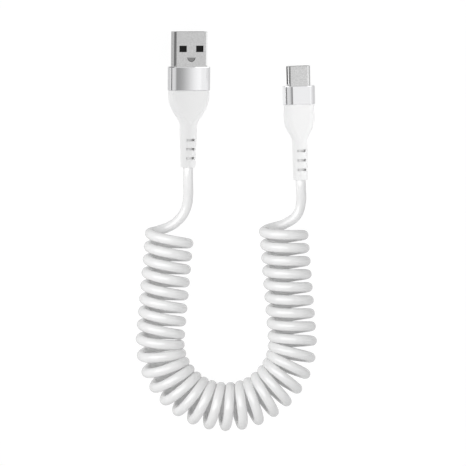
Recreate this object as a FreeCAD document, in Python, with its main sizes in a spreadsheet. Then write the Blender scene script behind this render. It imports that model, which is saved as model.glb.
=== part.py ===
import FreeCAD, Part
import math
import os
import re
import Sketcher

# A USB-A to USB-C charging cable with a curly cord, lying on a table with the cord in a horseshoe.
# The table is z = 0, +Y runs from the horseshoe's bend towards the plugs' tips, and the origin lies on
# the table below the middle of the two plugs. Lengths are in millimetres and angles in degrees.
#
# Each plug is drawn in a frame of its own: x across its wide face, y towards the face that is turned up,
# z along its axis, from the boot's rear end, where the cord comes out, to the tip.

SIZES = {
    # Fits: the play between a piece and the one that it is pushed into
    "fit_gap": 0.03,
    # Cord and its four wires
    "cord_dia": 3.4,
    "wire_dia": 0.7,
    "wire_spread": 0.9,
    "wire_lead": 0.3,
    "coil_outer_dia": 16.8,
    # USB-A plug: where the cord leaves it, and how it lies
    "usb_a_exit_x": -18.26,
    "usb_a_exit_y": -21.1,
    "usb_a_lean": -0.6,
    "usb_a_roll": 20.0,
    # USB-A shell
    "usb_a_shell_width": 12.0,
    "usb_a_shell_height": 4.5,
    "usb_a_shell_corner": 0.7,
    "usb_a_shell_wall": 0.3,
    "usb_a_shell_length": 18.75,
    "usb_a_shell_seat": 1.45,
    "usb_a_shell_edge": 0.08,
    "usb_a_window_width": 2.65,
    "usb_a_window_length": 2.2,
    "usb_a_window_spacing": 6.05,
    "usb_a_window_setback": 5.85,
    "usb_a_tab_radius": 1.5,
    "usb_a_tab_slit": 0.1,
    "usb_a_tab_setback": 8.8,
    "usb_a_tab_tilt": 14.0,
    "usb_a_seam_gap": 0.12,
    # USB-A insulator and contacts
    "usb_a_cavity_depth": 9.0,
    "usb_a_tongue_setback": 0.6,
    "usb_a_tongue_edge": 0.2,
    "usb_a_contact_width": 1.0,
    "usb_a_contact_thickness": 0.3,
    "usb_a_contact_inner": 1.0,
    "usb_a_contact_outer": 3.5,
    "usb_a_contact_inner_setback": 2.6,
    "usb_a_contact_outer_setback": 1.6,
    "usb_a_contact_tail": 2.2,
    # USB-A collar, inner mould and boot
    "usb_a_collar_width": 14.9,
    "usb_a_collar_height": 7.0,
    "usb_a_collar_corner": 2.8,
    "usb_a_collar_crown": 25.0,
    "usb_a_collar_length": 8.2,
    "usb_a_collar_wall": 0.5,
    "usb_a_collar_front": 0.6,
    "usb_a_collar_chamfer": 0.25,
    "usb_a_neck_width": 8.6,
    "usb_a_neck_height": 4.2,
    "usb_a_neck_corner": 1.4,
    "usb_a_neck_length": 7.4,
    "usb_a_cord_entry": 1.2,
    "usb_a_boot_length": 26.3,
    "usb_a_boot_inset": 0.2,
    "usb_a_flank_level": 24.0,
    "usb_a_shoulder_level": 21.5,
    "usb_a_shoulder_width": 13.5,
    "usb_a_shoulder_height": 6.6,
    "usb_a_shoulder_corner": 2.7,
    "usb_a_shoulder_crown": 25.0,
    "usb_a_waist_level": 16.6,
    "usb_a_waist_width": 7.6,
    "usb_a_waist_height": 6.1,
    "usb_a_waist_corner": 2.7,
    "usb_a_relief_level": 13.0,
    "usb_a_relief_dia": 6.0,
    "usb_a_relief_end_dia": 5.0,
    "usb_a_slot_width": 3.0,
    "usb_a_slot_length": 0.85,
    "usb_a_slot_first": 3.25,
    "usb_a_slot_pitch": 3.1,
    # USB-C plug: where the cord leaves it, and how it lies
    "usb_c_exit_x": 20.32,
    "usb_c_exit_y": -25.4,
    "usb_c_lean": 1.35,
    "usb_c_roll": 14.0,
    # USB-C shell
    "usb_c_shell_width": 8.25,
    "usb_c_shell_height": 2.4,
    "usb_c_shell_corner": 1.15,
    "usb_c_shell_wall": 0.25,
    "usb_c_shell_length": 10.4,
    "usb_c_shell_seat": 2.85,
    "usb_c_shell_edge": 0.12,
    # USB-C housing, contacts and latch
    "usb_c_housing_setback": 0.3,
    "usb_c_cavity_width": 6.9,
    "usb_c_cavity_depth": 6.2,
    "usb_c_contact_width": 0.25,
    "usb_c_contact_thickness": 0.15,
    "usb_c_contact_pitch": 0.5,
    "usb_c_contact_setback": 1.4,
    "usb_c_contact_tail": 1.6,
    "usb_c_latch_thickness": 0.25,
    "usb_c_latch_height": 0.5,
    "usb_c_latch_setback": 0.9,
    "usb_c_latch_hook": 0.3,
    "usb_c_latch_hook_length": 0.8,
    # USB-C circuit board and resistor
    "usb_c_board_width": 7.0,
    "usb_c_board_thickness": 0.8,
    "usb_c_board_length": 4.9,
    "usb_c_resistor_width": 1.0,
    "usb_c_resistor_height": 0.35,
    "usb_c_resistor_length": 0.5,
    "usb_c_resistor_setback": 2.3,
    "usb_c_wire_spacing": 2.6,
    "usb_c_wire_lap": 1.4,
    # USB-C collar, inner mould and boot
    "usb_c_collar_width": 11.2,
    "usb_c_collar_height": 6.2,
    "usb_c_collar_corner": 2.9,
    "usb_c_collar_crown": 60.0,
    "usb_c_collar_length": 6.4,
    "usb_c_collar_wall": 0.45,
    "usb_c_collar_front": 0.6,
    "usb_c_collar_chamfer": 0.2,
    "usb_c_neck_width": 8.4,
    "usb_c_neck_height": 3.4,
    "usb_c_neck_corner": 1.2,
    "usb_c_neck_length": 6.8,
    "usb_c_cord_entry": 1.2,
    "usb_c_boot_length": 25.8,
    "usb_c_boot_inset": 0.2,
    "usb_c_flank_level": 21.8,
    "usb_c_shoulder_level": 19.0,
    "usb_c_shoulder_width": 10.2,
    "usb_c_shoulder_height": 5.8,
    "usb_c_shoulder_corner": 2.7,
    "usb_c_shoulder_crown": 60.0,
    "usb_c_waist_level": 15.6,
    "usb_c_waist_width": 7.0,
    "usb_c_waist_height": 5.2,
    "usb_c_waist_corner": 2.5,
    "usb_c_relief_level": 12.9,
    "usb_c_relief_dia": 5.3,
    "usb_c_relief_end_dia": 5.0,
    "usb_c_slot_width": 3.0,
    "usb_c_slot_length": 0.85,
    "usb_c_slot_first": 3.5,
    "usb_c_slot_pitch": 3.25,
    # Short flat between the corner arcs of a section that is all but round
    "round_flat": 0.1,
}

# Route of the curly part's axis, which lies half its diameter above the table: the left arm, the bend and
# the right arm of the horseshoe
COIL_POINTS = [(-24.5, -43.0), (-28.6, -88.3), (-15.2, -103.0), (4.7, -103.1), (18.2, -88.5), (14.3, -41.3)]

# Route of the cord between each plug and the curly part. It leaves the plug on its axis, runs straight for
# the stretch given here, passes the points and ends at the bottom of the curly part's end.
TAIL_A_STRAIGHT = 3.5
TAIL_A_POINTS = [(-18.1, -32.3, 2.6), (-19.5, -37.9, 1.7)]
TAIL_C_STRAIGHT = 3.0
TAIL_C_POINTS = [(20.7, -33.3, 2.2), (19.2, -38.3, 1.7)]

# Places of the USB-C contacts that a charging cable fills, out of twelve in a row
UPPER_CONTACTS = (1, 4, 5, 6, 7, 9, 12)
LOWER_CONTACTS = (1, 4, 5, 9, 12)
CONTACT_PLACES = 12

SLOTS = 3
ARC_SHARE = 0.45
VOLUME_TOLERANCE = 0.01
LEVEL_TOLERANCE = 1e-6

doc = FreeCAD.newDocument("charging_cable")
sheet = doc.addObject("Spreadsheet::Sheet", "Sizes")
for row, (alias, number) in enumerate(SIZES.items(), start=1):
    sheet.set(f"A{row}", alias)
    sheet.set(f"B{row}", str(number))
    sheet.setAlias(f"B{row}", alias)
doc.recompute()

nodes = []


def size(text):
    """Work out a formula of size names as a number."""
    return float(sheet.evalExpression(text))


def bind(target, name, text):
    """Tie a property to a formula of size names."""
    def cell(word):
        return "Sizes." + word[0] if word[0] in SIZES else word[0]

    target.setExpression(name, re.sub(r"[a-z_]+", cell, text))


def corner_level(plug):
    """Formula for the height of the collar's corner arcs above its middle, which its crown leaves."""
    return (
        f"({plug}_collar_height / 2 - {plug}_collar_crown"
        f" + sqrt(({plug}_collar_crown - {plug}_collar_corner)^2"
        f" - ({plug}_collar_width / 2 - {plug}_collar_corner)^2))"
    )


def plug_placement(plug):
    """Formula that lays a plug on the table, rolled about its axis until a corner of its collar touches."""
    rise = (
        f"({plug}_collar_width / 2 - {plug}_collar_corner) * sin({plug}_roll)"
        f" + {corner_level(plug)} * cos({plug}_roll)"
        f" + {plug}_collar_corner"
    )
    return (
        f"placement(vector({plug}_exit_x; {plug}_exit_y; {rise});"
        f" rotation(180 + {plug}_lean; -{plug}_roll; 90))"
    )


def shell_rear(plug):
    """Formula for the level of the shell's rear end, which sits in the collar."""
    return f"{plug}_boot_length + {plug}_shell_seat"


def tip(plug):
    """Formula for the level of the plug's tip."""
    return f"{shell_rear(plug)} + {plug}_shell_length"


def new_body(label, placement):
    """Start a sub-part that is built from sketches."""
    body = doc.addObject("PartDesign::Body", label)
    body.Label = label
    body.AllowCompound = True
    bind(body, "Placement", placement)
    return body


def keep(sub_part):
    """List a sub-part to be written to a file of its own."""
    nodes.append(sub_part)
    return sub_part


def new_sketch(body, role="XY_Plane", level="0"):
    """Start a sketch on one of a body's own planes, raised to a level along its normal."""
    sketch = body.newObject("Sketcher::SketchObject", f"{body.Name}_sketch")
    plane = next(feature for feature in body.Origin.OriginFeatures if feature.Role == role)
    sketch.AttachmentSupport = (plane, [""])
    sketch.MapMode = "FlatFace"
    bind(sketch, "AttachmentOffset.Base.z", level)
    return sketch


def fix(sketch, constraint, text):
    """Add a constraint to a sketch and tie its value to a formula."""
    index = sketch.addConstraint(constraint)
    name = f"size_{index}"
    sketch.renameConstraint(index, name)
    bind(sketch, f"Constraints.{name}", text)


def outline(sketch, corners):
    """Draw a closed outline of straight lines, each corner given as a pair of formulas."""
    points = [FreeCAD.Vector(size(x), size(y), 0) for x, y in corners]
    lines = [
        sketch.addGeometry(Part.LineSegment(point, points[(i + 1) % len(points)]))
        for i, point in enumerate(points)
    ]
    for i, line in enumerate(lines):
        following = lines[(i + 1) % len(lines)]
        sketch.addConstraint(Sketcher.Constraint("Coincident", line, 2, following, 1))
    for line, point, (x, y) in zip(lines, points, corners):
        fix(sketch, Sketcher.Constraint("DistanceX", line, 1, point.x), x)
        fix(sketch, Sketcher.Constraint("DistanceY", line, 1, point.y), y)


def rectangle(sketch, width, height, x="0", y="0"):
    """Draw a rectangle about a centre."""
    left, right = f"({x}) - ({width}) / 2", f"({x}) + ({width}) / 2"
    bottom, top = f"({y}) - ({height}) / 2", f"({y}) + ({height}) / 2"
    outline(sketch, [(left, bottom), (right, bottom), (right, top), (left, top)])


def rounded_rectangle(sketch, width, height, corner, crown=None):
    """Draw a rounded rectangle about the sketch's origin, its wide sides crowned to a radius if given."""
    radius = size(corner)
    reach_x = size(width) / 2 - radius
    reach_y = size(height) / 2 - radius
    lean = 0
    if crown:
        arch = size(crown)
        lean = math.asin(reach_x / (arch - radius))
        reach_y = size(height) / 2 - arch + (arch - radius) * math.cos(lean)
    turn = math.pi / 2
    arcs = []
    for x, y, start, end in (
        (reach_x, reach_y, 0, turn - lean),
        (-reach_x, reach_y, turn + lean, 2 * turn),
        (-reach_x, -reach_y, 2 * turn, 3 * turn - lean),
        (reach_x, -reach_y, 3 * turn + lean, 4 * turn),
    ):
        ring = Part.Circle(FreeCAD.Vector(x, y, 0), FreeCAD.Vector(0, 0, 1), radius)
        arcs.append(sketch.addGeometry(Part.ArcOfCircle(ring, start, end)))
    sides = []
    for quarter, arc in enumerate(arcs):
        start = sketch.getPoint(arc, 2)
        end = sketch.getPoint(arcs[(quarter + 1) % 4], 1)
        if crown and quarter % 2 == 0:
            apex = FreeCAD.Vector(0, math.copysign(size(height) / 2, start.y), 0)
            sides.append(sketch.addGeometry(Part.Arc(start, apex, end)))
        else:
            sides.append(sketch.addGeometry(Part.LineSegment(start, end)))
    for quarter, side in enumerate(sides):
        sketch.addConstraint(Sketcher.Constraint("Tangent", arcs[quarter], 2, side, 1))
        sketch.addConstraint(Sketcher.Constraint("Tangent", side, 2, arcs[(quarter + 1) % 4], 1))
    for arc in arcs[1:]:
        sketch.addConstraint(Sketcher.Constraint("Equal", arcs[0], arc))
    sketch.addConstraint(Sketcher.Constraint("Symmetric", arcs[0], 3, arcs[2], 3, -1, 1))
    top, left, bottom, right = sides
    for side in (left, right):
        sketch.addConstraint(Sketcher.Constraint("Vertical", side))
    fix(sketch, Sketcher.Constraint("Radius", arcs[0], radius), corner)
    fix(sketch, Sketcher.Constraint("DistanceX", left, 1, right, 1, size(width)), width)
    if crown:
        sketch.addConstraint(Sketcher.Constraint("Equal", top, bottom))
        sketch.addConstraint(Sketcher.Constraint("PointOnObject", top, 3, -2))
        fix(sketch, Sketcher.Constraint("Radius", top, arch), crown)
        below = f"({height}) / 2 - ({crown})"
        fix(sketch, Sketcher.Constraint("DistanceY", top, 3, size(below)), below)
    else:
        for side in (top, bottom):
            sketch.addConstraint(Sketcher.Constraint("Horizontal", side))
        fix(sketch, Sketcher.Constraint("DistanceY", bottom, 1, top, 1, size(height)), height)


def circle(sketch, diameter):
    """Draw a circle about the sketch's origin."""
    centre = FreeCAD.Vector(0, 0, 0)
    ring = sketch.addGeometry(Part.Circle(centre, FreeCAD.Vector(0, 0, 1), size(diameter) / 2))
    sketch.addConstraint(Sketcher.Constraint("Coincident", ring, 3, -1, 1))
    fix(sketch, Sketcher.Constraint("Diameter", ring, size(diameter)), diameter)


def pad(body, sketch, length, symmetric=False):
    """Extrude a sketch along its normal, or to both sides of its plane."""
    feature = body.newObject("PartDesign::Pad", f"{body.Name}_pad")
    feature.Profile = sketch
    feature.SideType = "Symmetric" if symmetric else "One side"
    bind(feature, "Length", length)
    return feature


def pocket(body, sketch, length=None, symmetric=False, upwards=False):
    """Cut a sketch out of a body against its normal, all the way through where no length is given."""
    doc.recompute()
    volume = body.Shape.Volume
    feature = body.newObject("PartDesign::Pocket", f"{body.Name}_pocket")
    feature.Profile = sketch
    feature.SideType = "Symmetric" if symmetric else "One side"
    feature.Reversed = upwards
    if length:
        bind(feature, "Length", length)
    else:
        feature.Type = "ThroughAll"
    doc.recompute()
    if body.Shape.Volume >= volume:
        raise RuntimeError(f"{body.Label}: a pocket cuts nothing")
    return feature


def chamfer_level(body, level, chamfer):
    """Chamfer all edges of a body that lie in one plane across its axis."""
    doc.recompute()
    base = body.Tip
    height = size(level)
    names = []
    for number, edge in enumerate(base.Shape.Edges, start=1):
        box = edge.BoundBox
        if abs(box.ZMin - height) < LEVEL_TOLERANCE and abs(box.ZMax - height) < LEVEL_TOLERANCE:
            names.append(f"Edge{number}")
    feature = body.newObject("PartDesign::Chamfer", f"{body.Name}_chamfer")
    feature.Base = (base, names)
    bind(feature, "Size", chamfer)
    return feature


def bar(label, plug, width, height, start, length, x="0", y="0"):
    """Build a straight bar along a plug's axis."""
    body = new_body(label, plug_placement(plug))
    sketch = new_sketch(body, level=start)
    rectangle(sketch, width, height, x, y)
    pad(body, sketch, length)
    return keep(body)


def collar_outline(sketch, plug, inset):
    """Draw a plug's main section: the collar's outline, moved inwards by an inset."""
    rounded_rectangle(
        sketch,
        f"{plug}_collar_width - 2 * ({inset})",
        f"{plug}_collar_height - 2 * ({inset})",
        f"{plug}_collar_corner - ({inset})",
        f"{plug}_collar_crown - ({inset})",
    )


def collar(plug):
    """Build the metal sleeve, with a front wall round the shell."""
    body = new_body(f"{plug}_collar", plug_placement(plug))
    rear = f"{plug}_boot_length"
    front = f"{plug}_boot_length + {plug}_collar_length"
    sleeve = new_sketch(body, level=rear)
    collar_outline(sleeve, plug, "0")
    pad(body, sleeve, f"{plug}_collar_length")
    chamfer_level(body, front, f"{plug}_collar_chamfer")
    chamfer_level(body, rear, f"{plug}_collar_chamfer")
    inside = new_sketch(body, level=rear)
    collar_outline(inside, plug, f"{plug}_collar_wall")
    pocket(body, inside, f"{plug}_collar_length - {plug}_collar_front", upwards=True)
    mouth = new_sketch(body, level=front)
    rounded_rectangle(
        mouth,
        f"{plug}_shell_width + 2 * fit_gap",
        f"{plug}_shell_height + 2 * fit_gap",
        f"{plug}_shell_corner + fit_gap",
    )
    pocket(body, mouth)
    return keep(body)


def boot(plug):
    """Build the soft boot: straight flanks and a shoulder that necks in to a slotted strain relief."""
    body = new_body(f"{plug}_boot", plug_placement(plug))

    def round_section(level, diameter):
        sketch = new_sketch(body, level=level)
        rounded_rectangle(sketch, diameter, diameter, f"({diameter} - round_flat) / 2")
        return sketch

    front, flank = (new_sketch(body, level=f"{plug}_{at}") for at in ("boot_length", "flank_level"))
    for section in (front, flank):
        collar_outline(section, plug, f"{plug}_boot_inset")
    shoulder = new_sketch(body, level=f"{plug}_shoulder_level")
    rounded_rectangle(
        shoulder,
        f"{plug}_shoulder_width",
        f"{plug}_shoulder_height",
        f"{plug}_shoulder_corner",
        f"{plug}_shoulder_crown",
    )
    waist = new_sketch(body, level=f"{plug}_waist_level")
    rounded_rectangle(waist, f"{plug}_waist_width", f"{plug}_waist_height", f"{plug}_waist_corner")
    relief = round_section(f"{plug}_relief_level", f"{plug}_relief_dia")
    upper = body.newObject("PartDesign::AdditiveLoft", f"{plug}_shoulder_loft")
    upper.Profile = front
    upper.Sections = [flank, shoulder, waist, relief]
    relief_base = round_section(f"{plug}_relief_level", f"{plug}_relief_dia")
    relief_end = round_section("0", f"{plug}_relief_end_dia")
    lower = body.newObject("PartDesign::AdditiveLoft", f"{plug}_relief_loft")
    lower.Profile = relief_base
    lower.Sections = [relief_end]

    seat = new_sketch(body, level=f"{plug}_boot_length")
    rounded_rectangle(seat, f"{plug}_neck_width", f"{plug}_neck_height", f"{plug}_neck_corner")
    pocket(body, seat, f"{plug}_neck_length")
    bore = new_sketch(body, level=f"{plug}_boot_length")
    circle(bore, "cord_dia + 2 * fit_gap")
    pocket(body, bore)
    slot_sketch = new_sketch(body, "XZ_Plane")
    rectangle(slot_sketch, f"{plug}_slot_width", f"{plug}_slot_length", y=f"{plug}_slot_first")
    slot = pocket(body, slot_sketch, symmetric=True)
    slots = body.newObject("PartDesign::LinearPattern", f"{plug}_slots")
    slots.Originals = [slot]
    axis = next(feature for feature in body.Origin.OriginFeatures if feature.Role == "Z_Axis")
    slots.Direction = (axis, [""])
    slots.Occurrences = SLOTS
    bind(slots, "Length", f"{SLOTS - 1} * {plug}_slot_pitch")
    body.Tip = slots
    return keep(body)


def inner_mould(plug, embedded):
    """Build the hard moulding that fills the collar and the boot's seat round the embedded pieces."""
    block = new_body(f"{plug}_mould_block", plug_placement(plug))
    rear = f"{plug}_boot_length - {plug}_neck_length"
    front_sketch = new_sketch(block, level=f"{plug}_boot_length")
    collar_outline(front_sketch, plug, f"{plug}_collar_wall + fit_gap")
    pad(block, front_sketch, f"{plug}_collar_length - {plug}_collar_front")
    neck_sketch = new_sketch(block, level=rear)
    rounded_rectangle(neck_sketch, f"{plug}_neck_width", f"{plug}_neck_height", f"{plug}_neck_corner")
    pad(block, neck_sketch, f"{plug}_neck_length")
    socket = new_sketch(block, level=rear)
    circle(socket, "cord_dia + 2 * fit_gap")
    pocket(block, socket, f"{plug}_cord_entry", upwards=True)
    filling = doc.addObject("Part::Compound", f"{plug}_embedded")
    filling.Links = embedded
    mould = doc.addObject("Part::Cut", f"{plug}_inner_mould")
    mould.Label = f"{plug}_inner_mould"
    mould.Base = block
    mould.Tool = filling
    return keep(mould)


def sweep(edges, diameter):
    """Sweep a round section along a path of straight runs and tangent arcs."""
    start = edges[0].Vertexes[0].Point
    heading = edges[0].tangentAt(edges[0].FirstParameter)
    ring = Part.Wire(Part.makeCircle(diameter / 2, start, heading))
    path = Part.Wire(edges)
    solid = path.makePipeShell([ring], True, False)
    expected = math.pi * diameter ** 2 / 4 * path.Length
    if abs(solid.Volume - expected) > VOLUME_TOLERANCE * expected:
        raise RuntimeError(f"swept volume {solid.Volume:.3f} is not {expected:.3f}")
    return solid


def wire(label, plug, start, end, bend_start, bend_end, finish):
    """Build one of the cord's wires: straight out of the jacket, an S-bend, straight onto its seat."""
    first = FreeCAD.Vector(start[0], start[1], bend_start)
    last = FreeCAD.Vector(end[0], end[1], bend_end)
    along = FreeCAD.Vector(0, 0, 1)
    run = bend_end - bend_start
    aside = last - first - along * run
    shift = aside.Length
    aside.normalize()
    radius = (run ** 2 + shift ** 2) / (4 * shift)
    half_turn = math.atan(shift / run)
    to_arc_middle = (
        aside * (radius * (1 - math.cos(half_turn))) + along * (radius * math.sin(half_turn))
    )
    middle = (first + last) * 0.5
    jacket_end = FreeCAD.Vector(start[0], start[1], bend_start - size("wire_lead"))
    edges = [
        Part.LineSegment(jacket_end, first).toShape(),
        Part.Arc(first, first + to_arc_middle, middle).toShape(),
        Part.Arc(middle, last - to_arc_middle, last).toShape(),
        Part.LineSegment(last, FreeCAD.Vector(end[0], end[1], finish)).toShape(),
    ]
    feature = doc.addObject("Part::Feature", label)
    feature.Label = label
    feature.Shape = sweep(edges, size("wire_dia"))
    bind(feature, "Placement", plug_placement(plug))
    return keep(feature)


def usb_a_shell():
    """Build the folded shell: a seam underneath, two windows in each wide face and a bent tab."""
    body = new_body("usb_a_shell", plug_placement("usb_a"))
    ring = new_sketch(body, level=shell_rear("usb_a"))
    rounded_rectangle(ring, "usb_a_shell_width", "usb_a_shell_height", "usb_a_shell_corner")
    rounded_rectangle(
        ring,
        "usb_a_shell_width - 2 * usb_a_shell_wall",
        "usb_a_shell_height - 2 * usb_a_shell_wall",
        "usb_a_shell_corner - usb_a_shell_wall",
    )
    pad(body, ring, "usb_a_shell_length")
    chamfer_level(body, tip("usb_a"), "usb_a_shell_edge")
    windows = new_sketch(body, "XZ_Plane")
    for side in (-1, 1):
        rectangle(
            windows,
            "usb_a_window_width",
            "usb_a_window_length",
            f"{side} * usb_a_window_spacing / 2",
            f"{tip('usb_a')} - usb_a_window_setback",
        )
    pocket(body, windows, symmetric=True)
    seam = new_sketch(body, "XZ_Plane")
    rectangle(seam, "usb_a_seam_gap", "usb_a_shell_length", y=f"{tip('usb_a')} - usb_a_shell_length / 2")
    pocket(body, seam, upwards=True)
    opening = new_sketch(body, "XZ_Plane")
    bind(opening, "AttachmentOffset.Base.y", tab_level())
    half_disc(opening, "usb_a_tab_radius")
    pocket(body, opening)
    tab = new_sketch(body, "XZ_Plane", "-usb_a_shell_height / 2")
    tilt = FreeCAD.Rotation(FreeCAD.Vector(1, 0, 0), -size("usb_a_tab_tilt"))
    tab.AttachmentOffset = FreeCAD.Placement(FreeCAD.Vector(0, 0, 0), tilt)
    bind(tab, "AttachmentOffset.Base.y", tab_level())
    half_disc(tab, "usb_a_tab_radius - usb_a_tab_slit")
    pad(body, tab, "usb_a_shell_wall")
    return keep(body)


def tab_level():
    """Formula for the level of the fold by which the tab hangs on the shell."""
    return f"{tip('usb_a')} - usb_a_tab_setback"


def half_disc(sketch, radius):
    """Draw half a disc below the sketch's origin, its straight side across the top."""
    disc = Part.Circle(FreeCAD.Vector(0, 0, 0), FreeCAD.Vector(0, 0, 1), size(radius))
    arc = sketch.addGeometry(Part.ArcOfCircle(disc, math.pi, 2 * math.pi))
    side = sketch.addGeometry(Part.LineSegment(sketch.getPoint(arc, 2), sketch.getPoint(arc, 1)))
    sketch.addConstraint(Sketcher.Constraint("Coincident", arc, 3, -1, 1))
    sketch.addConstraint(Sketcher.Constraint("Coincident", side, 1, arc, 2))
    sketch.addConstraint(Sketcher.Constraint("Coincident", side, 2, arc, 1))
    sketch.addConstraint(Sketcher.Constraint("PointOnObject", arc, 1, -1))
    sketch.addConstraint(Sketcher.Constraint("PointOnObject", arc, 2, -1))
    fix(sketch, Sketcher.Constraint("Radius", arc, size(radius)), radius)


def usb_a_insulator():
    """Build the block in the shell's rear, with its tongue, the contacts' grooves and the tab's notch."""
    rear = shell_rear("usb_a")
    half_height = "(usb_a_shell_height / 2 - usb_a_shell_wall - fit_gap)"
    width = "usb_a_shell_width - 2 * usb_a_shell_wall - 2 * fit_gap"
    body = new_body("usb_a_insulator", plug_placement("usb_a"))
    block = new_sketch(body, level=rear)
    rounded_rectangle(block, width, f"2 * {half_height}", "usb_a_shell_corner - usb_a_shell_wall")
    pad(body, block, "usb_a_shell_length - usb_a_cavity_depth")
    tongue = new_sketch(body, level=f"{tip('usb_a')} - usb_a_cavity_depth")
    rectangle(
        tongue,
        "usb_a_shell_width - 2 * usb_a_shell_corner",
        half_height,
        y=f"{half_height} / 2",
    )
    pad(body, tongue, "usb_a_cavity_depth - usb_a_tongue_setback")
    chamfer_level(body, f"{tip('usb_a')} - usb_a_tongue_setback", "usb_a_tongue_edge")
    grooves = new_sketch(body, level=f"{tip('usb_a')} - usb_a_tongue_setback")
    for row in ("inner", "outer"):
        for side in (-1, 1):
            rectangle(
                grooves,
                "usb_a_contact_width",
                "usb_a_contact_thickness",
                f"{side} * usb_a_contact_{row}",
                "usb_a_contact_thickness / 2",
            )
    pocket(body, grooves)
    notch = new_sketch(body, "XZ_Plane", f"-{half_height}")
    rectangle(
        notch,
        "2 * usb_a_tab_radius",
        "usb_a_tab_radius",
        y=f"{tab_level()} - usb_a_tab_radius / 2",
    )
    pocket(body, notch, "usb_a_tab_radius * sin(usb_a_tab_tilt)", upwards=True)
    return keep(body)


def usb_a_contacts():
    """Build the four flat contacts: power and ground reach further forward than the data pair."""
    start = f"{shell_rear('usb_a')} - usb_a_contact_tail"
    contacts = []
    for name, side, row in (
        ("vbus", 1, "outer"), ("data_minus", 1, "inner"), ("data_plus", -1, "inner"), ("ground", -1, "outer")
    ):
        contacts.append(
            bar(
                f"usb_a_contact_{name}",
                "usb_a",
                "usb_a_contact_width",
                "usb_a_contact_thickness",
                start,
                f"usb_a_shell_length + usb_a_contact_tail - usb_a_contact_{row}_setback",
                f"{side} * usb_a_contact_{row}",
                "usb_a_contact_thickness / 2",
            )
        )
    return contacts


def usb_a_wires():
    """Build the four wires that fan out from the jacket onto the contacts' tails."""
    jacket_end = size("usb_a_boot_length - usb_a_neck_length + usb_a_cord_entry")
    finish = size(f"{shell_rear('usb_a')} - wire_dia")
    tail_end = size(f"{shell_rear('usb_a')} - usb_a_contact_tail")
    near = size("wire_spread / 2")
    seat = -size("wire_dia / 2")
    wires = []
    for name, side, row, start_y in (
        ("vbus", 1, "outer", -near),
        ("data_minus", 1, "inner", near),
        ("data_plus", -1, "inner", near),
        ("ground", -1, "outer", -near),
    ):
        wires.append(
            wire(
                f"usb_a_wire_{name}",
                "usb_a",
                (side * near, start_y),
                (side * size(f"usb_a_contact_{row}"), seat),
                jacket_end + size("wire_lead"),
                tail_end,
                finish,
            )
        )
    return wires


def usb_c_shell():
    """Build the drawn shell, one seamless tube with a softened front edge."""
    body = new_body("usb_c_shell", plug_placement("usb_c"))
    blank = new_sketch(body, level=shell_rear("usb_c"))
    rounded_rectangle(blank, "usb_c_shell_width", "usb_c_shell_height", "usb_c_shell_corner")
    pad(body, blank, "usb_c_shell_length")
    chamfer_level(body, tip("usb_c"), "usb_c_shell_edge")
    hollow = new_sketch(body, level=tip("usb_c"))
    rounded_rectangle(
        hollow,
        "usb_c_shell_width - 2 * usb_c_shell_wall",
        "usb_c_shell_height - 2 * usb_c_shell_wall",
        "usb_c_shell_corner - usb_c_shell_wall",
    )
    pocket(body, hollow)
    return keep(body)


def contact_places(row):
    """Formulas for the sideways places of the filled contacts in a row."""
    middle = (CONTACT_PLACES + 1) / 2
    return [f"{place - middle} * usb_c_contact_pitch" for place in row]


def usb_c_housing():
    """Build the moulded housing: the cavity for the socket's tongue and a groove for each contact."""
    front = f"{tip('usb_c')} - usb_c_housing_setback"
    body = new_body("usb_c_housing", plug_placement("usb_c"))
    block = new_sketch(body, level=shell_rear("usb_c"))
    rounded_rectangle(
        block,
        "usb_c_shell_width - 2 * usb_c_shell_wall - 2 * fit_gap",
        "usb_c_shell_height - 2 * usb_c_shell_wall - 2 * fit_gap",
        "usb_c_shell_corner - usb_c_shell_wall - fit_gap",
    )
    pad(body, block, "usb_c_shell_length - usb_c_housing_setback")
    cavity = new_sketch(body, level=front)
    rectangle(cavity, "usb_c_cavity_width", "usb_c_board_thickness")
    pocket(body, cavity, "usb_c_cavity_depth")
    grooves = new_sketch(body, level=front)
    for row, side in ((UPPER_CONTACTS, 1), (LOWER_CONTACTS, -1)):
        for place in contact_places(row):
            rectangle(
                grooves,
                "usb_c_contact_width",
                "usb_c_contact_thickness",
                place,
                f"{side} * (usb_c_board_thickness + usb_c_contact_thickness) / 2",
            )
    pocket(body, grooves)
    return keep(body)


def usb_c_contact_row(name, row, side):
    """Build one row of contact strips, from the mouth to their tails on the circuit board."""
    body = new_body(f"usb_c_contacts_{name}", plug_placement("usb_c"))
    sketch = new_sketch(body, level=f"{shell_rear('usb_c')} - usb_c_contact_tail")
    for place in contact_places(row):
        rectangle(
            sketch,
            "usb_c_contact_width",
            "usb_c_contact_thickness",
            place,
            f"{side} * (usb_c_board_thickness + usb_c_contact_thickness) / 2",
        )
    pad(body, sketch, "usb_c_shell_length + usb_c_contact_tail - usb_c_contact_setback")
    return keep(body)


def usb_c_latch():
    """Build the latch spring: a crossbar on the cavity's floor and two hooked arms along its sides."""
    floor = f"{tip('usb_c')} - usb_c_housing_setback - usb_c_cavity_depth"
    end = f"{tip('usb_c')} - usb_c_latch_setback"
    outside = "usb_c_cavity_width / 2"
    inside = f"{outside} - usb_c_latch_thickness"
    hook = f"{inside} - usb_c_latch_hook"
    half = [
        (outside, floor),
        (outside, end),
        (inside, end),
        (hook, f"{end} - usb_c_latch_hook_length / 2"),
        (inside, f"{end} - usb_c_latch_hook_length"),
        (inside, f"{floor} + usb_c_latch_thickness"),
    ]
    body = new_body("usb_c_latch", plug_placement("usb_c"))
    sketch = new_sketch(body, "XZ_Plane")
    outline(sketch, half + [(f"-({x})", z) for x, z in reversed(half)])
    pad(body, sketch, "usb_c_latch_height", symmetric=True)
    return keep(body)


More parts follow.
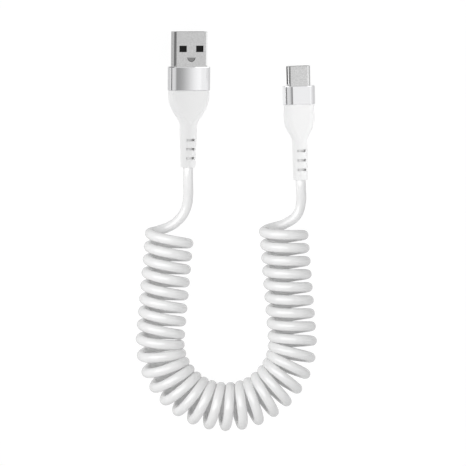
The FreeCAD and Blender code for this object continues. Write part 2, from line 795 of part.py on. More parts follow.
def usb_c_board():
    """Build the circuit board behind the housing and the resistor on its upper face."""
    front = shell_rear("usb_c")
    board = bar(
        "usb_c_board",
        "usb_c",
        "usb_c_board_width",
        "usb_c_board_thickness",
        f"{front} - usb_c_board_length",
        "usb_c_board_length",
    )
    resistor = bar(
        "usb_c_resistor",
        "usb_c",
        "usb_c_resistor_width",
        "usb_c_resistor_height",
        f"{front} - usb_c_resistor_setback - usb_c_resistor_length",
        "usb_c_resistor_length",
        y="(usb_c_board_thickness + usb_c_resistor_height) / 2",
    )
    return [board, resistor]


def usb_c_wires():
    """Build the four wires that run from the jacket onto both faces of the circuit board."""
    jacket_end = size("usb_c_boot_length - usb_c_neck_length + usb_c_cord_entry")
    board_rear = size(f"{shell_rear('usb_c')} - usb_c_board_length")
    near = size("wire_spread / 2")
    seat = size("(usb_c_board_thickness + wire_dia) / 2")
    wires = []
    for name, side, face in (
        ("vbus", -1, 1), ("data_minus", -1, -1), ("data_plus", 1, -1), ("ground", 1, 1)
    ):
        wires.append(
            wire(
                f"usb_c_wire_{name}",
                "usb_c",
                (side * near, face * near),
                (side * size("usb_c_wire_spacing / 2"), face * seat),
                jacket_end + size("wire_lead"),
                board_rear,
                board_rear + size("usb_c_wire_lap"),
            )
        )
    return wires


def on_plug_axis(plug, level):
    """Point on a plug's axis, as it lies on the table."""
    placement = sheet.evalExpression(plug_placement(plug))
    return placement.multVec(FreeCAD.Vector(0, 0, level))


def coil_route():
    """Points of the curly part's axis, as it lies on the table."""
    return [FreeCAD.Vector(x, y, size("coil_outer_dia / 2")) for x, y in COIL_POINTS]


def rounded_route(points):
    """Join points by straight runs and tangent arcs, each arc as large as its two runs allow."""
    edges = []
    reached = points[0]
    for before, corner, after in zip(points, points[1:], points[2:]):
        run_in = corner - before
        run_out = after - corner
        turn = run_in.getAngle(run_out)
        setback = ARC_SHARE * min(run_in.Length, run_out.Length)
        radius = setback / math.tan(turn / 2)
        print(f"bend of {math.degrees(turn):.1f} degrees, radius {radius:.1f} mm")
        run_in.normalize()
        run_out.normalize()
        arc_start = corner - run_in * setback
        arc_end = corner + run_out * setback
        inward = run_out - run_in
        inward.normalize()
        arc_middle = corner + inward * (radius / math.cos(turn / 2) - radius)
        edges.append(Part.LineSegment(reached, arc_start).toShape())
        edges.append(Part.Arc(arc_start, arc_middle, arc_end).toShape())
        reached = arc_end
    edges.append(Part.LineSegment(reached, points[-1]).toShape())
    return edges


def coil():
    """Build the curly part of the cord as one tube of its outer diameter."""
    feature = doc.addObject("Part::Feature", "coil")
    feature.Label = "coil"
    feature.Shape = sweep(rounded_route(coil_route()), size("coil_outer_dia"))
    return keep(feature)


def tail(label, plug, straight, points, coil_end, coil_next):
    """Build the cord from inside a plug to an end of the curly part, cut off flush with that end."""
    jacket_end = size(f"{plug}_boot_length - {plug}_neck_length + {plug}_cord_entry")
    joint = coil_end - FreeCAD.Vector(0, 0, size("(coil_outer_dia - cord_dia) / 2"))
    route = [on_plug_axis(plug, jacket_end), on_plug_axis(plug, -straight)]
    route += [FreeCAD.Vector(*point) for point in points]
    last_run = joint - route[-1]
    last_run.normalize()
    past_joint = joint + last_run * size("cord_dia")
    tube = sweep(rounded_route(route + [past_joint]), size("cord_dia"))
    reach = size("coil_outer_dia")
    inside_coil = Part.makeCylinder(reach, reach, joint, coil_next - coil_end)
    feature = doc.addObject("Part::Feature", label)
    feature.Label = label
    feature.Shape = tube.cut(inside_coil)
    return keep(feature)


def build():
    """Build all sub-parts."""
    usb_a_embedded = [usb_a_shell(), usb_a_insulator()] + usb_a_contacts() + usb_a_wires()
    inner_mould("usb_a", usb_a_embedded)
    collar("usb_a")
    boot("usb_a")
    usb_c_embedded = [
        usb_c_shell(),
        usb_c_housing(),
        usb_c_contact_row("upper", UPPER_CONTACTS, 1),
        usb_c_contact_row("lower", LOWER_CONTACTS, -1),
    ]
    usb_c_embedded += usb_c_board() + usb_c_wires()
    usb_c_latch()
    inner_mould("usb_c", usb_c_embedded)
    collar("usb_c")
    boot("usb_c")
    coil()
    axis = coil_route()
    tail("tail_a", "usb_a", TAIL_A_STRAIGHT, TAIL_A_POINTS, axis[0], axis[1])
    tail("tail_c", "usb_c", TAIL_C_STRAIGHT, TAIL_C_POINTS, axis[-1], axis[-2])
    doc.recompute()


def check():
    """Stop if any object failed or any sub-part has no valid shape."""
    for item in doc.Objects:
        if "Invalid" in item.State or "Error" in item.State:
            raise RuntimeError(f"{item.Label} failed: {item.State}")
    for item in nodes:
        if item.Shape.isNull() or not item.Shape.isValid() or not item.Shape.Solids:
            raise RuntimeError(f"{item.Label} has no valid solid")


def write():
    """Write each sub-part to a file of its own."""
    os.makedirs("parts", exist_ok=True)
    for item in nodes:
        item.Shape.exportStep(f"parts/{item.Label}.step")
        box = item.Shape.BoundBox
        print(f"{item.Label}: {len(item.Shape.Solids)} solid, {item.Shape.Volume:.2f} mm3, {box}")


build()
check()
write()
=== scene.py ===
"""Looks of a curly USB-A to USB-C charging cable that lies on a pale table with its cord in a horseshoe."""

import logging
import math
from abc import ABC, abstractmethod
from dataclasses import dataclass, field
from enum import Enum
from typing import ClassVar

import bpy
from mathutils import Matrix, Vector


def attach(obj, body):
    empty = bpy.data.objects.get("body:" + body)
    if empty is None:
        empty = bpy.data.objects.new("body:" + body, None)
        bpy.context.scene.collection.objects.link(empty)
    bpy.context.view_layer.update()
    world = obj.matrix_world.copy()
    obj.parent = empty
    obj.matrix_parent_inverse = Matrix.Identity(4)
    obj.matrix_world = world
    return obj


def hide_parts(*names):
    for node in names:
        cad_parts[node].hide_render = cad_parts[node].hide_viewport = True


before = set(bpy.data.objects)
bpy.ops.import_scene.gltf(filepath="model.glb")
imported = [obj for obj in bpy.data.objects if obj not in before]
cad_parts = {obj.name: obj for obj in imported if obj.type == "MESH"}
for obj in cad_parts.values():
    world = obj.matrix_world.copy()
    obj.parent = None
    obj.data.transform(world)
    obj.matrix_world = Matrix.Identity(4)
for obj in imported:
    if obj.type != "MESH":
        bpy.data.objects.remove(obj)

log = logging.getLogger("charging_cable")

BODY = "root"
BOOTS = ("usb_a_boot", "usb_c_boot")
MILLIMETRE = 0.001
HALF_TURN = 180.0

Colour = tuple[float, float, float]
Point = tuple[float, float, float]

BLACK: Colour = (0.0, 0.0, 0.0)
WHITE: Colour = (1.0, 1.0, 1.0)


class ShaderGraph:
    """A material's nodes: its main shader and the few nodes that the finishes share."""

    def __init__(self, name: str) -> None:
        """Start a material with a plain shader.

        Args:
            name: Name of the material.
        """
        self.material = bpy.data.materials.new(name)
        self.material.use_nodes = True
        self.tree = self.material.node_tree
        self.shader = self.tree.nodes["Principled BSDF"]
        self.place = self.tree.nodes.new("ShaderNodeTexCoord").outputs["Object"]

    def set(self, **values: float | Colour) -> None:
        """Set constant values on the shader's own sockets.

        Args:
            values: A value for each socket, named in lower case with underscores.
        """
        for word, value in values.items():
            socket = self.shader.inputs[word.replace("_", " ").title().replace("Ior", "IOR")]
            socket.default_value = (*value, 1.0) if socket.type == "RGBA" else value

    def noise(self, size: float, detail: float) -> bpy.types.NodeSocket:
        """Add a noise over the surface.

        Args:
            size: Size of its grains, in metres.
            detail: Number of finer layers.

        Returns:
            The noise's output, from 0 to 1.
        """
        node = self.tree.nodes.new("ShaderNodeTexNoise")
        node.inputs["Scale"].default_value = 1.0 / size
        node.inputs["Detail"].default_value = detail
        self.tree.links.new(self.place, node.inputs["Vector"])
        return node.outputs["Fac"]

    def colour(self, mask: bpy.types.NodeSocket, first: Colour, second: Colour) -> None:
        """Let the surface's colour wander between two colours.

        Args:
            mask: Where the second colour shows, from 0 to 1.
            first: Colour where the mask is 0.
            second: Colour where the mask is 1.
        """
        ramp = self.tree.nodes.new("ShaderNodeValToRGB")
        ramp.color_ramp.elements[0].color = (*first, 1.0)
        ramp.color_ramp.elements[1].color = (*second, 1.0)
        self.tree.links.new(mask, ramp.inputs["Fac"])
        self.tree.links.new(ramp.outputs["Color"], self.shader.inputs["Base Color"])

    def dim(self, shares: Point, start: float, end: float, left: float) -> None:
        """Dim the surface's colour on one side of a plane.

        Args:
            shares: How much each coordinate counts towards the distance from the plane.
            start: The distance at which the colour begins to fade, in metres.
            end: The distance from which on it is faded.
            left: The share of the colour that is left there.
        """
        distance = self.tree.nodes.new("ShaderNodeVectorMath")
        distance.operation = "DOT_PRODUCT"
        distance.inputs[1].default_value = shares
        self.tree.links.new(self.place, distance.inputs[0])
        spread = self.tree.nodes.new("ShaderNodeMapRange")
        for word, value in (("From Min", start), ("From Max", end), ("To Min", 1.0), ("To Max", left)):
            spread.inputs[word].default_value = value
        self.tree.links.new(distance.outputs["Value"], spread.inputs["Value"])
        dimmed = self.tree.nodes.new("ShaderNodeVectorMath")
        dimmed.operation = "SCALE"
        colour = self.shader.inputs["Base Color"]
        self.tree.links.new(colour.links[0].from_socket, dimmed.inputs[0])
        self.tree.links.new(spread.outputs["Result"], dimmed.inputs["Scale"])
        self.tree.links.new(dimmed.outputs["Vector"], colour)

    def roughness(self, mask: bpy.types.NodeSocket, smooth: float, rough: float) -> None:
        """Let the surface's roughness wander between two values.

        Args:
            mask: Where the surface is rough, from 0 to 1.
            smooth: Roughness where the mask is 0.
            rough: Roughness where the mask is 1.
        """
        spread = self.tree.nodes.new("ShaderNodeMapRange")
        spread.inputs["To Min"].default_value = smooth
        spread.inputs["To Max"].default_value = rough
        self.tree.links.new(mask, spread.inputs["Value"])
        self.tree.links.new(spread.outputs["Result"], self.shader.inputs["Roughness"])

    def bump(self, height: bpy.types.NodeSocket, depth: float, strength: float) -> None:
        """Give the surface a fine relief.

        Args:
            height: The relief, from 0 to 1.
            depth: Depth of the relief, in metres.
            strength: How much of it shows.
        """
        node = self.tree.nodes.new("ShaderNodeBump")
        node.inputs["Strength"].default_value = strength
        node.inputs["Distance"].default_value = depth
        self.tree.links.new(height, node.inputs["Height"])
        self.tree.links.new(node.outputs["Normal"], self.shader.inputs["Normal"])


class Finish(ABC):
    """A finish that can be put on pieces, named for the record's material slot that they belong to."""

    made: ClassVar[dict["Finish", bpy.types.Material]] = {}
    name: str

    @abstractmethod
    def dress(self, graph: ShaderGraph) -> None:
        """Fill in a material's nodes.

        Args:
            graph: The material's nodes.
        """

    def material(self) -> bpy.types.Material:
        """Make the finish's material, once.

        Returns:
            The material.
        """
        if self not in Finish.made:
            graph = ShaderGraph(f"{self.name}_finish")
            self.dress(graph)
            Finish.made[self] = graph.material
        return Finish.made[self]

    def put_on(self, piece: bpy.types.Object) -> None:
        """Put the finish on a piece.

        Args:
            piece: The piece.
        """
        piece.data.materials.clear()
        piece.data.materials.append(self.material())


@dataclass(frozen=True)
class Metal(Finish):
    """Plated or anodised metal with a fine rolled or blasted grain. Sizes are in metres."""

    name: str
    dull: Colour
    bright: Colour
    smooth: float
    rough: float
    grain: float
    grain_detail: float = 3.0
    relief: float = 0.00001
    relief_strength: float = 0.1

    def dress(self, graph: ShaderGraph) -> None:
        """Make a metal whose colour, gloss and surface follow its grain.

        Args:
            graph: The material's nodes.
        """
        grain = graph.noise(self.grain, self.grain_detail)
        graph.set(metallic=1.0)
        graph.colour(grain, self.dull, self.bright)
        graph.roughness(grain, self.smooth, self.rough)
        graph.bump(grain, self.relief, self.relief_strength)


@dataclass(frozen=True)
class Plastic(Finish):
    """Moulded or extruded plastic, a little cloudy, with a fine skin. Sizes are in metres."""

    name: str
    shade: Colour
    tint: Colour
    smooth: float
    rough: float
    skin: float
    skin_detail: float = 2.0
    relief: float = 0.00001
    relief_strength: float = 0.1
    cloudy: float = 0.0
    cloud_depth: float = 0.001
    # How many grains of the skin the clouds of colour are across
    cloud_span: float = 40.0
    cloud_detail: float = 1.0
    gloss: float = 0.5

    def dress(self, graph: ShaderGraph) -> None:
        """Make a plastic with faint clouds of colour and a fine skin.

        Args:
            graph: The material's nodes.
        """
        skin = graph.noise(self.skin, self.skin_detail)
        clouds = graph.noise(self.skin * self.cloud_span, self.cloud_detail)
        graph.set(specular_ior_level=self.gloss, subsurface_weight=self.cloudy)
        graph.set(subsurface_radius=(1.0, 1.0, 1.0), subsurface_scale=self.cloud_depth)
        graph.colour(clouds, self.shade, self.tint)
        graph.roughness(skin, self.smooth, self.rough)
        graph.bump(skin, self.relief, self.relief_strength)


@dataclass(frozen=True)
class Jacket(Plastic):
    """The cord's jacket, with painted shade inside the boots, where the floors of their slots lie in
    shadow.
    """

    # Painted shade of the boots' slots: distances along y, slanted so that one plane lies just inside the
    # rear ends of both boots
    slot_shade_shares: Point = (0.1116, 1.0, 0.0)
    slot_shade_start: float = -0.0217
    slot_shade_end: float = -0.0212
    slot_shade_left: float = 0.78

    def dress(self, graph: ShaderGraph) -> None:
        """Make the plastic and paint shade on it inside the boots.

        Args:
            graph: The material's nodes.
        """
        super().dress(graph)
        # Painted shade: the cord's colour is darkened inside the boots, where their slots' floors lie in
        # shadow
        graph.dim(self.slot_shade_shares, self.slot_shade_start, self.slot_shade_end, self.slot_shade_left)


SHELL_STEEL = Metal(
    "shell_steel", dull=(0.46, 0.46, 0.46), bright=(0.8, 0.8, 0.8), smooth=0.1, rough=0.16, grain=0.0004,
)
COLLAR_METAL = Metal(
    "collar_metal", dull=(0.84, 0.84, 0.85), bright=(0.88, 0.88, 0.89), smooth=0.08, rough=0.13,
    grain=0.0001,
)
GOLD_CONTACT = Metal(
    "gold_contact", dull=(0.78, 0.53, 0.2), bright=(0.86, 0.62, 0.28), smooth=0.2, rough=0.3, grain=0.0001,
)
WHITE_BOOT = Plastic(
    "white_boot", shade=(0.88, 0.88, 0.88), tint=(0.9, 0.9, 0.9), smooth=0.45, rough=0.55, skin=0.00015,
    cloudy=0.1, cloud_depth=0.0006,
)
WHITE_CORD = Jacket(
    "white_cord", shade=(0.88, 0.88, 0.88), tint=(0.91, 0.91, 0.91), smooth=0.1, rough=0.16, skin=0.0002,
    cloudy=0.1, gloss=1.0,
)
BLACK_PLASTIC = Plastic(
    "black_plastic", shade=(0.008, 0.008, 0.008), tint=(0.013, 0.013, 0.013), smooth=0.35, rough=0.5,
    skin=0.0001, gloss=0.2,
)
INNER_MOULD = Plastic(
    "inner_mould", shade=(0.6, 0.6, 0.58), tint=(0.66, 0.66, 0.64), smooth=0.4, rough=0.55, skin=0.00015,
)
BOARD_GREEN = Plastic(
    "board_green", shade=(0.01, 0.1, 0.04), tint=(0.015, 0.13, 0.05), smooth=0.3, rough=0.4, skin=0.0002,
)
RESISTOR_BLACK = Plastic(
    "resistor_black", shade=(0.02, 0.02, 0.02), tint=(0.03, 0.03, 0.03), smooth=0.4, rough=0.5, skin=0.0001,
)


class Wire(Enum):
    """The cord's four wires, each with its material slot and the colour of its insulation."""

    VBUS = ("wire_red", (0.55, 0.02, 0.02))
    DATA_MINUS = ("wire_white", (0.75, 0.75, 0.72))
    DATA_PLUS = ("wire_green", (0.02, 0.26, 0.06))
    GROUND = ("wire_black", (0.02, 0.02, 0.02))

    @property
    def node(self) -> str:
        """The wire's name in the plugs' node names."""
        return f"wire_{self.name.lower()}"

    @property
    def slot(self) -> str:
        """The wire's material slot."""
        return self.value[0]

    @property
    def colour(self) -> Colour:
        """The colour of the wire's insulation."""
        return self.value[1]

    @property
    def finish(self) -> Plastic:
        """The finish of the wire's insulation."""
        return Plastic(self.slot, self.colour, self.colour, smooth=0.35, rough=0.45, skin=0.0001)


@dataclass
class Plug:
    """One of the two plugs: its nodes keep the shapes of the model and get their finishes here."""

    word: str
    blacks: tuple[str, ...]
    golds: tuple[str, ...]

    def finishes(self) -> dict[str, Finish]:
        """Choose a finish for each of the plug's nodes.

        Returns:
            The finishes, by the nodes' names on the plug.
        """
        chosen: dict[str, Finish] = {
            "shell": SHELL_STEEL, "collar": COLLAR_METAL, "boot": WHITE_BOOT, "inner_mould": INNER_MOULD,
        }
        chosen |= dict.fromkeys(self.blacks, BLACK_PLASTIC) | dict.fromkeys(self.golds, GOLD_CONTACT)
        return chosen | {wire.node: wire.finish for wire in Wire}

    def dress(self) -> list[bpy.types.Object]:
        """Put its finish on each of the plug's nodes.

        Returns:
            The nodes.
        """
        dressed = []
        for name, finish in self.finishes().items():
            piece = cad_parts[f"{self.word}_{name}"]
            finish.put_on(piece)
            dressed.append(piece)
        return dressed


@dataclass
class UsbAPlug(Plug):
    """The USB-A plug."""

    word: str = "usb_a"
    blacks: tuple[str, ...] = ("insulator",)
    golds: tuple[str, ...] = ("contact_vbus", "contact_data_minus", "contact_data_plus", "contact_ground")


@dataclass
class UsbCPlug(Plug):
    """The USB-C plug, which also holds a circuit board and a latch."""

    word: str = "usb_c"
    blacks: tuple[str, ...] = ("housing",)
    golds: tuple[str, ...] = ("contacts_upper", "contacts_lower")

    def finishes(self) -> dict[str, Finish]:
        """Choose a finish for each of the plug's nodes, the board and the latch among them.

        Returns:
            The finishes, by the nodes' names on the plug.
        """
        inside = {"board": BOARD_GREEN, "resistor": RESISTOR_BLACK, "latch": SHELL_STEEL}
        return super().finishes() | inside


@dataclass
class CurlyCord:
    """The cord on one spline: a tail out of each plug and a helix between them. Sizes are in mm."""

    diameter: float = 3.4
    coil_outer_diameter: float = 16.8
    turns: int = 33
    points_per_turn: int = 16
    length: float = 1480.0
    spline_order: int = 3
    # Steps between control points on the axis and on the cord, and extra points round half the cord
    axis_steps: int = 48
    cord_steps: int = 4
    round_steps: int = 8
    # Route of the curly part's axis, with a point added on each straight arm near the bend
    axis: tuple[tuple[float, float], ...] = (
        (-24.5, -43.0), (-26.81, -68.48), (-28.6, -88.3), (-15.2, -103.0),
        (4.7, -103.1), (18.2, -88.5), (16.56, -68.67), (14.3, -41.3),
    )
    # Tails from inside each plug, with a point added near the end of the straight stretch
    tail_a: tuple[Point, ...] = (
        (-18.05, -1.0, 4.585), (-18.216, -16.9, 4.585), (-18.297, -24.6, 4.585),
        (-18.1, -32.3, 2.9), (-19.4, -37.0, 1.95), (-22.4, -40.3, 1.85),
        (-25.1, -41.9, 1.75), (-27.4, -42.6, 2.2), (-29.5, -43.2, 3.6),
    )
    tail_c: tuple[Point, ...] = (
        (19.844, -5.205, 3.685), (20.202, -20.4, 3.685), (20.391, -28.4, 3.685),
        (20.7, -33.3, 2.5), (19.2, -38.3, 1.95), (14.2, -41.2, 1.75),
        (11.6, -41.7, 2.1), (9.5, -42.2, 3.6),
    )
    # Points at each end of the helix that the tails' last points stand in for
    points_in_tail: int = 3
    # Where the cord leaves the USB-A plug's boot
    exit_a: Point = (-18.26, -21.1, 4.585)

    def spline(self, name: str, points: list[Vector]) -> bpy.types.Object:
        """Make a smooth curve.

        Args:
            name: Name of the curve.
            points: Its control points, in mm.

        Returns:
            The curve's object.
        """
        data = bpy.data.curves.new(name, "CURVE")
        data.dimensions = "3D"
        line = data.splines.new("NURBS")
        line.points.add(len(points) - 1)
        for control, point in zip(line.points, points):
            control.co = (*(point * MILLIMETRE), 1.0)
        line.order_u = self.spline_order
        line.use_endpoint_u = True
        curve = bpy.data.objects.new(name, data)
        bpy.context.scene.collection.objects.link(curve)
        return curve

    def axis_line(self) -> list[Vector]:
        """Read closely spaced points of the curly part's axis from its spline.

        Returns:
            The points, in mm.
        """
        height = self.coil_outer_diameter / 2
        curve = self.spline("coil_axis", [Vector((x, y, height)) for x, y in self.axis])
        curve.data.resolution_u = self.axis_steps
        bpy.context.view_layer.update()
        mesh = bpy.data.meshes.new_from_object(curve)
        line = [vertex.co / MILLIMETRE for vertex in mesh.vertices]
        bpy.data.meshes.remove(mesh)
        bpy.data.objects.remove(curve)
        return line

    def helix(self) -> list[Vector]:
        """Wind the turns round the axis, from the bottom of one end to the bottom of the other.

        Returns:
            The helix's control points, in mm.
        """
        line = self.axis_line()
        steps = [(after - before).length for before, after in zip(line, line[1:])]
        total = sum(steps)
        log.info("axis of the curly part: %.1f mm", total)
        count = self.turns * self.points_per_turn
        # The spline runs through the middles between its control points, so those lie a little further out
        radius = (self.coil_outer_diameter - self.diameter) / 2 / math.cos(math.pi / self.points_per_turn)
        points = []
        index, walked = 0, 0.0
        for number in range(count + 1):
            wanted = total * number / count
            while index < len(steps) - 1 and walked + steps[index] < wanted:
                walked += steps[index]
                index += 1
            start, end = line[index], line[index + 1]
            heading = (end - start).normalized()
            centre = start + heading * (wanted - walked)
            left = Vector((-heading.y, heading.x, 0.0))
            turn = 2 * math.pi * number / self.points_per_turn - math.pi / 2
            lift = Vector((0.0, 0.0, radius * math.sin(turn)))
            points.append(centre - left * (radius * math.cos(turn)) + lift)
        return points

    def build(self) -> bpy.types.Object:
        """Lay the whole cord on one spline and stand it in for its plain solids.

        Returns:
            The cord.
        """
        points = [Vector(point) for point in self.tail_a]
        points += self.helix()[self.points_in_tail:-self.points_in_tail]
        points += [Vector(point) for point in reversed(self.tail_c)]
        cord = self.spline("cord", points)
        cord.data.bevel_depth = self.diameter / 2 * MILLIMETRE
        cord.data.bevel_resolution = self.round_steps
        cord.data.resolution_u = self.cord_steps
        cord.data.use_fill_caps = True
        WHITE_CORD.put_on(cord)
        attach(cord, BODY)
        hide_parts("tail_a", "coil", "tail_c")
        return cord


def stage_sheet(name: str, corners: list[Point], graph: ShaderGraph) -> bpy.types.Object:
    """Set up a flat sheet that belongs to the studio.

    Args:
        name: Name of the sheet.
        corners: Its four corners in turn, in metres.
        graph: Its material's nodes.

    Returns:
        The sheet.
    """
    mesh = bpy.data.meshes.new(name)
    mesh.from_pydata(corners, [], [(0, 1, 2, 3)])
    mesh.materials.append(graph.material)
    sheet = bpy.data.objects.new(name, mesh)
    bpy.context.scene.collection.objects.link(sheet)
    return sheet


@dataclass
class Card:
    """An upright card beside the object, which shows only in its gloss. Sizes are in metres."""

    name: str
    start: tuple[float, float]
    end: tuple[float, float]
    height: tuple[float, float]
    brightness: float

    def build(self) -> bpy.types.Object:
        """Stand the card up.

        Returns:
            The card.
        """
        graph = ShaderGraph(self.name)
        graph.set(base_color=BLACK, specular_ior_level=0.0)
        graph.set(emission_color=WHITE, emission_strength=self.brightness)
        bottom, top = self.height
        corners = [(*self.start, bottom), (*self.end, bottom), (*self.end, top), (*self.start, top)]
        card = stage_sheet(self.name, corners, graph)
        card.visible_camera = False
        card.visible_diffuse = False
        card.visible_shadow = False
        return card


@dataclass
class Softbox:
    """A wide bright panel that lights some of the pieces and nothing else. Sizes are in metres."""

    name: str
    lit: tuple[str, ...]
    direction: Point
    watts: float
    sides: tuple[float, float] = (0.4, 0.4)
    distance: float = 0.5

    def build(self) -> bpy.types.Object:
        """Hang the panel up, turned to the object.

        Returns:
            The light.
        """
        data = bpy.data.lights.new(self.name, "AREA")
        data.shape = "RECTANGLE"
        data.size, data.size_y = self.sides
        data.energy = self.watts
        light = bpy.data.objects.new(self.name, data)
        way = Vector(self.direction).normalized()
        across = Vector((0.0, 1.0, 0.0)).cross(way).normalized()
        light.location = way * self.distance
        light.rotation_euler = Matrix((way.cross(across), -across, way)).transposed().to_euler()
        light.visible_camera = False
        bpy.context.scene.collection.objects.link(light)
        pieces = bpy.data.collections.new(f"{self.name}_lights")
        for name in self.lit:
            pieces.objects.link(bpy.data.objects[name])
        light.light_linking.receiver_collection = pieces
        return light


@dataclass
class Studio:
    """The pale table, the soft light and the camera nearly straight above. Sizes are in metres."""

    floor_side: float = 4.0
    camera_distance: float = 2.0
    # How far the camera stands away from straight above, towards the plugs' tips, in degrees
    view_tilt: float = 4.0
    # The square that the picture shows: its side, its middle and that point's height
    view_side: float = 0.1596
    view_centre: tuple[float, float] = (-0.00287, -0.04356)
    view_level: float = 0.006
    sensor_mm: float = 36.0
    # The sheet that the camera sees, and the table a little below it that lights the object
    floor_shade: float = 0.1
    floor_glow: float = 0.95
    table_shade: float = 0.65
    table_glow: float = 0.4
    table_drop: float = 0.0002
    sheet_roughness: float = 0.9
    # Brightness of a narrow ring overhead, which the plugs' metal shows, by the angle from straight up
    ring: dict[float, float] = field(default_factory=lambda: {
        -180.0: 0.5, -90.0: 0.9, -78.0: 0.9, -74.0: 0.15, -62.0: 0.15, -58.0: 0.8, -14.0: 0.75, -4.0: 0.55,
        5.0: 0.38, 10.0: 0.32, 15.0: 0.33, 18.0: 0.36, 24.0: 0.46, 30.0: 0.61, 36.0: 0.78, 43.0: 0.96,
        50.0: 1.08, 58.0: 1.1, 66.0: 0.95, 80.0: 0.9, 180.0: 0.5,
    })
    # Brightness outside the ring, and how much of it shows, by how far it lies towards the plugs' tips
    along: dict[float, float] = field(default_factory=lambda: {
        -1.0: 0.5, -0.6: 0.5, -0.52: 0.35, -0.42: 0.35, -0.25: 0.7, 0.1: 0.9, 0.3: 0.55, 0.5: 0.2, 0.7: 0.1,
        1.0: 0.1,
    })
    outside: dict[float, float] = field(default_factory=lambda: {
        -0.45: 1.0, -0.25: 0.0, 0.1: 0.0, 0.25: 1.0,
    })
    # A panel above for the cord, one on either side for the boots and a faint one above for the USB-C boot
    softboxes: tuple[Softbox, ...] = (
        Softbox("cord_softbox", ("cord",), (-0.4, 0.13, 0.907), 2.25, sides=(0.42, 0.9)),
        Softbox("left_softbox", BOOTS, (-0.85, 0.0, 0.53), 1.17),
        Softbox("right_softbox", BOOTS, (0.85, 0.0, 0.53), 1.17),
        Softbox("usb_c_softbox", ("usb_c_boot",), (0.1, 0.0, 0.995), 0.3),
    )
    # Cards on either side of both plugs, and one far in front of their tips
    cards: tuple[Card, ...] = (
        Card("dark_card_a", (-0.02625, 0.0135), (-0.02625, 0.0262), (0.0046, 0.031), 0.22),
        Card("pale_card_a_right", (-0.0105, 0.0137), (-0.0105, 0.0262), (0.002, 0.0065), 1.4),
        Card("pale_card_between", (0.0141, 0.0065), (0.0141, 0.0145), (0.0, 0.012), 0.85),
        Card("dark_card_c_low", (0.0143, 0.0072), (0.0143, 0.0138), (0.0, 0.0057), 0.02),
        Card("pale_card_c_left", (0.0143, 0.0072), (0.0143, 0.0138), (0.0057, 0.0077), 1.7),
        Card("dark_card_c_high", (0.0143, 0.0072), (0.0143, 0.0138), (0.0077, 0.0125), 0.02),
        Card("pale_card_c_edge", (0.0245, 0.0072), (0.0245, 0.0138), (0.0047, 0.0066), 1.4),
        Card("pale_card_c_collar", (0.0131, -0.0005), (0.0131, 0.007), (0.0, 0.0063), 1.0),
        Card("pale_card_c_right", (0.0292, -0.006), (0.0292, 0.0135), (0.0141, 0.0366), 0.98),
        Card("pale_backdrop", (-1.0, 0.45), (1.0, 0.45), (0.0, 0.9), 0.75),
    )

    def sheet(self, name: str, finish: str, level: float, shade: float, glow: float) -> bpy.types.Object:
        """Lay a level sheet with a faint light of its own.

        Args:
            name: Name of the sheet.
            finish: Name of its material.
            level: Its height.
            shade: Its grey, from 0 to 1.
            glow: Strength of its light.

        Returns:
            The sheet.
        """
        graph = ShaderGraph(finish)
        graph.set(base_color=(shade, shade, shade), roughness=self.sheet_roughness)
        graph.set(emission_color=WHITE, emission_strength=glow)
        half = self.floor_side / 2
        corners = [(-half, -half, level), (half, -half, level), (half, half, level), (-half, half, level)]
        return stage_sheet(name, corners, graph)

    def floor(self) -> None:
        """Lay the table: a glowing sheet to look at, and a dull one below it that throws light back."""
        shown = self.sheet("floor", "pale_table", 0.0, self.floor_shade, self.floor_glow)
        shown.visible_diffuse = False
        shown.visible_glossy = False
        shown.visible_shadow = False
        table = self.sheet("table", "dull_table", -self.table_drop, self.table_shade, self.table_glow)
        table.visible_camera = False

    def light(self) -> None:
        """Surround the object with soft light that differs by the side that it comes from."""
        world = bpy.data.worlds.new("studio")
        world.use_nodes = True
        tree = world.node_tree
        ways = tree.nodes.new("ShaderNodeSeparateXYZ")
        tree.links.new(tree.nodes.new("ShaderNodeTexCoord").outputs["Generated"], ways.inputs["Vector"])
        angle = tree.nodes.new("ShaderNodeMath")
        angle.operation = "ARCTAN2"
        tree.links.new(ways.outputs["X"], angle.inputs[0])
        tree.links.new(ways.outputs["Z"], angle.inputs[1])
        ring = self.ramp(tree, angle.outputs["Value"], math.pi, self.ring, HALF_TURN)
        mix = tree.nodes.new("ShaderNodeMix")
        tree.links.new(self.ramp(tree, ways.outputs["Y"], 1.0, self.outside, 1.0), mix.inputs["Factor"])
        tree.links.new(ring, mix.inputs["A"])
        tree.links.new(self.ramp(tree, ways.outputs["Y"], 1.0, self.along, 1.0), mix.inputs["B"])
        tree.links.new(mix.outputs["Result"], tree.nodes["Background"].inputs["Strength"])
        tree.nodes["Background"].inputs["Color"].default_value = (*WHITE, 1.0)
        bpy.context.scene.world = world

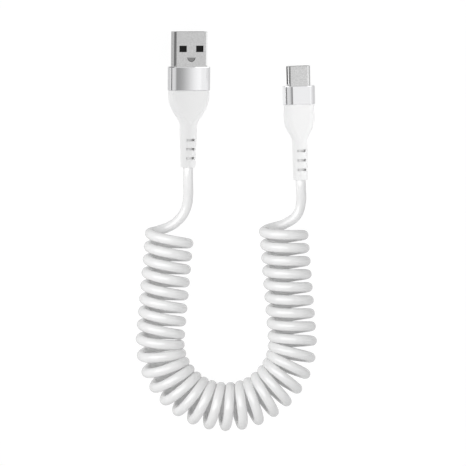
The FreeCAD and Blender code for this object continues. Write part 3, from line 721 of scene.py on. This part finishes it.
    def ramp(
        self,
        tree: bpy.types.NodeTree,
        value: bpy.types.NodeSocket,
        reach: float,
        stops: dict[float, float],
        full: float,
    ) -> bpy.types.NodeSocket:
        """Turn a value into a brightness.

        Args:
            tree: The nodes that the ramp joins.
            value: The value, from minus to plus its reach.
            reach: The largest value.
            stops: A brightness for each place on the ramp.
            full: The place that stands for the largest value.

        Returns:
            The brightness.
        """
        spread = tree.nodes.new("ShaderNodeMapRange")
        spread.inputs["From Min"].default_value = -reach
        spread.inputs["From Max"].default_value = reach
        tree.links.new(value, spread.inputs["Value"])
        ramp = tree.nodes.new("ShaderNodeValToRGB")
        elements = ramp.color_ramp.elements
        while len(elements) < len(stops):
            elements.new(0.5)
        for element, (place, light) in zip(elements, sorted(stops.items())):
            element.position = (place / full + 1.0) / 2.0
            element.color = (light, light, light, 1.0)
        tree.links.new(spread.outputs["Result"], ramp.inputs["Fac"])
        return ramp.outputs["Color"]

    def camera(self) -> None:
        """Look down through a long lens."""
        data = bpy.data.cameras.new("camera")
        data.sensor_width = self.sensor_mm
        data.lens = self.sensor_mm * self.camera_distance / self.view_side
        camera = bpy.data.objects.new("camera", data)
        tilt = math.radians(self.view_tilt)
        aside = Vector((0.0, math.sin(tilt), math.cos(tilt))) * self.camera_distance
        camera.location = Vector((*self.view_centre, self.view_level)) + aside
        camera.rotation_euler = (-tilt, 0.0, 0.0)
        bpy.context.scene.collection.objects.link(camera)
        bpy.context.scene.camera = camera
        bpy.context.scene.view_settings.view_transform = "Standard"

    def build(self) -> None:
        """Set up the floor, the lights, the cards and the camera."""
        self.floor()
        for piece in (*self.softboxes, *self.cards):
            log.info("set up %s", piece.build().name)
        self.light()
        self.camera()


def main() -> None:
    """Build the pieces in order and log each one."""
    logging.basicConfig(level=logging.INFO, format="%(message)s")
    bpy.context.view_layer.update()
    for plug in (UsbAPlug(), UsbCPlug()):
        for piece in plug.dress():
            log.info("dressed %s", piece.name)
    cord = CurlyCord().build()
    log.info("laid %s", cord.name)
    Studio().build()
    log.info("set up the studio")


if __name__ == "__main__":
    main()
